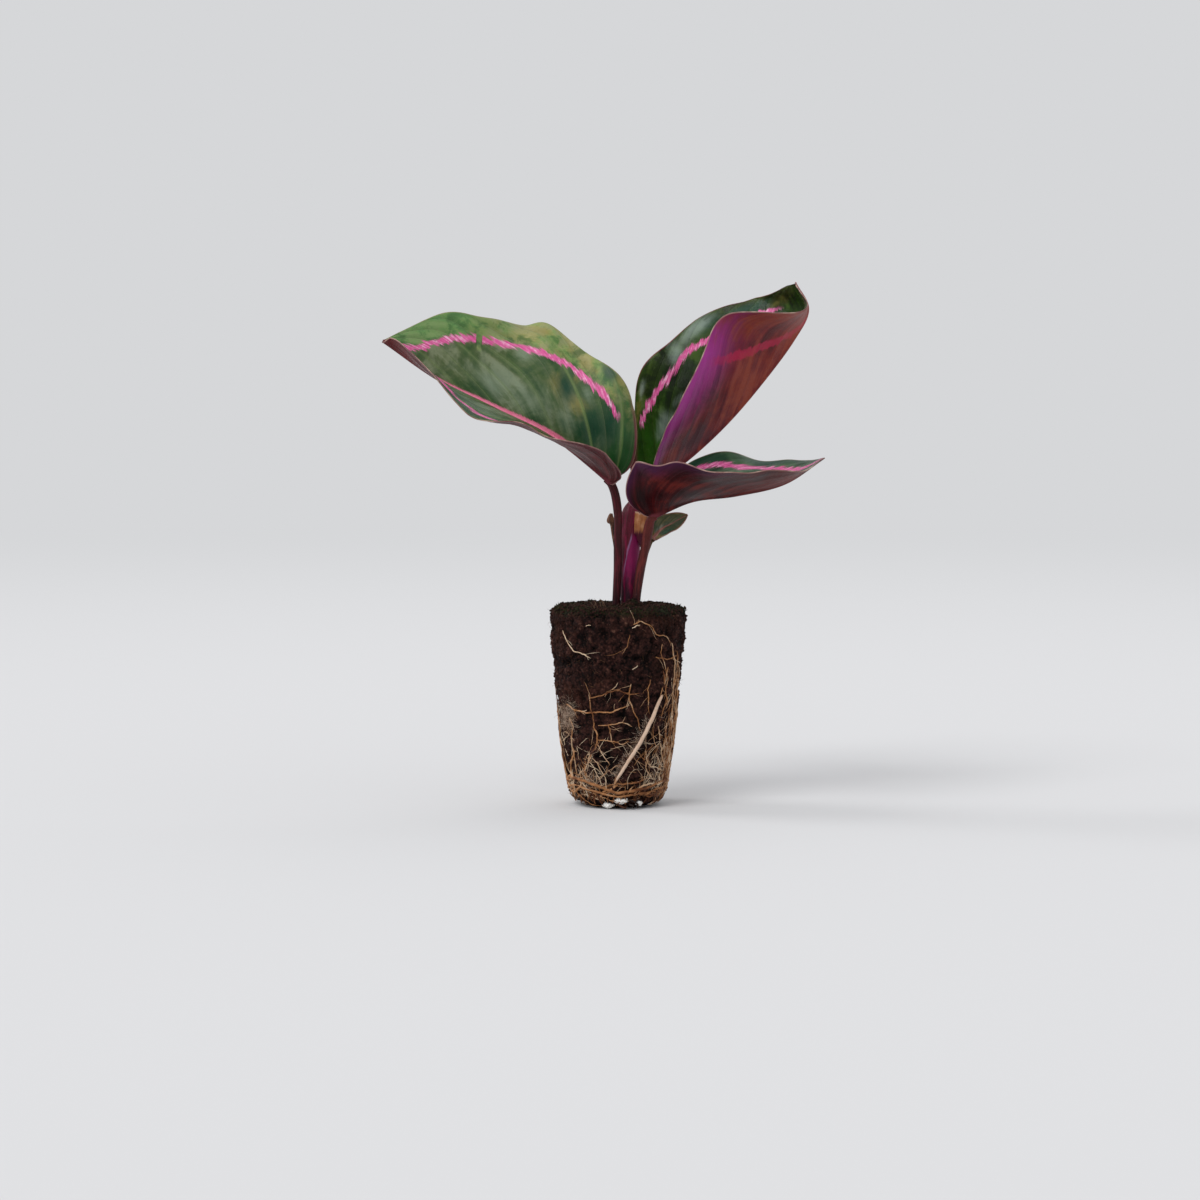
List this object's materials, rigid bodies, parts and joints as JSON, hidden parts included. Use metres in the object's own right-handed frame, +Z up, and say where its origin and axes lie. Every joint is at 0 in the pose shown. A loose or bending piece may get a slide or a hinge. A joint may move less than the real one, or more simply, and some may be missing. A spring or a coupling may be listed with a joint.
{
  "type": "calathea plug plant",
  "caption": "Young prayer plant with pink-ringed, maroon-backed leaves on purple stems, growing from a bare tapered plug of peat laced with fine roots.",
  "frame": {"origin": "middle of the plug's flat foot, where it stands", "axes": "+Z up along the plug to the leaves, -Y towards the front that shows the thick root, +X towards the low right leaf"},
  "size_m": [0.1213, 0.0581, 0.1452],
  "materials": {
    "peat": "damp, crumbly, matte",
    "fine_root": "dull, slightly fibrous",
    "young_root": "smooth, fleshy, satin",
    "perlite": "chalky, pitted",
    "stalk_skin": "smooth, satin, purple to magenta",
    "stem_skin": "smooth, satin, maroon",
    "dry_scale": "dry, papery",
    "painted_leaf": "waxy, mottled green with a pink ring above, satin maroon and purple below"
  },
  "bodies": {
    "root": {"soil_plug": "peat", "root_net": "fine_root", "main_root": "young_root", "perlite_a": "perlite", "perlite_b": "perlite", "perlite_c": "perlite", "stalk": "stalk_skin", "papery_sheath": "dry_scale", "petiole_left": "stem_skin", "petiole_right": "stem_skin", "petiole_small": "stem_skin", "old_leaf_stub": "dry_scale", "leaf_left": "painted_leaf", "leaf_right": "painted_leaf", "leaf_upright": "painted_leaf", "leaf_small": "painted_leaf"}
  },
  "joints": []
}
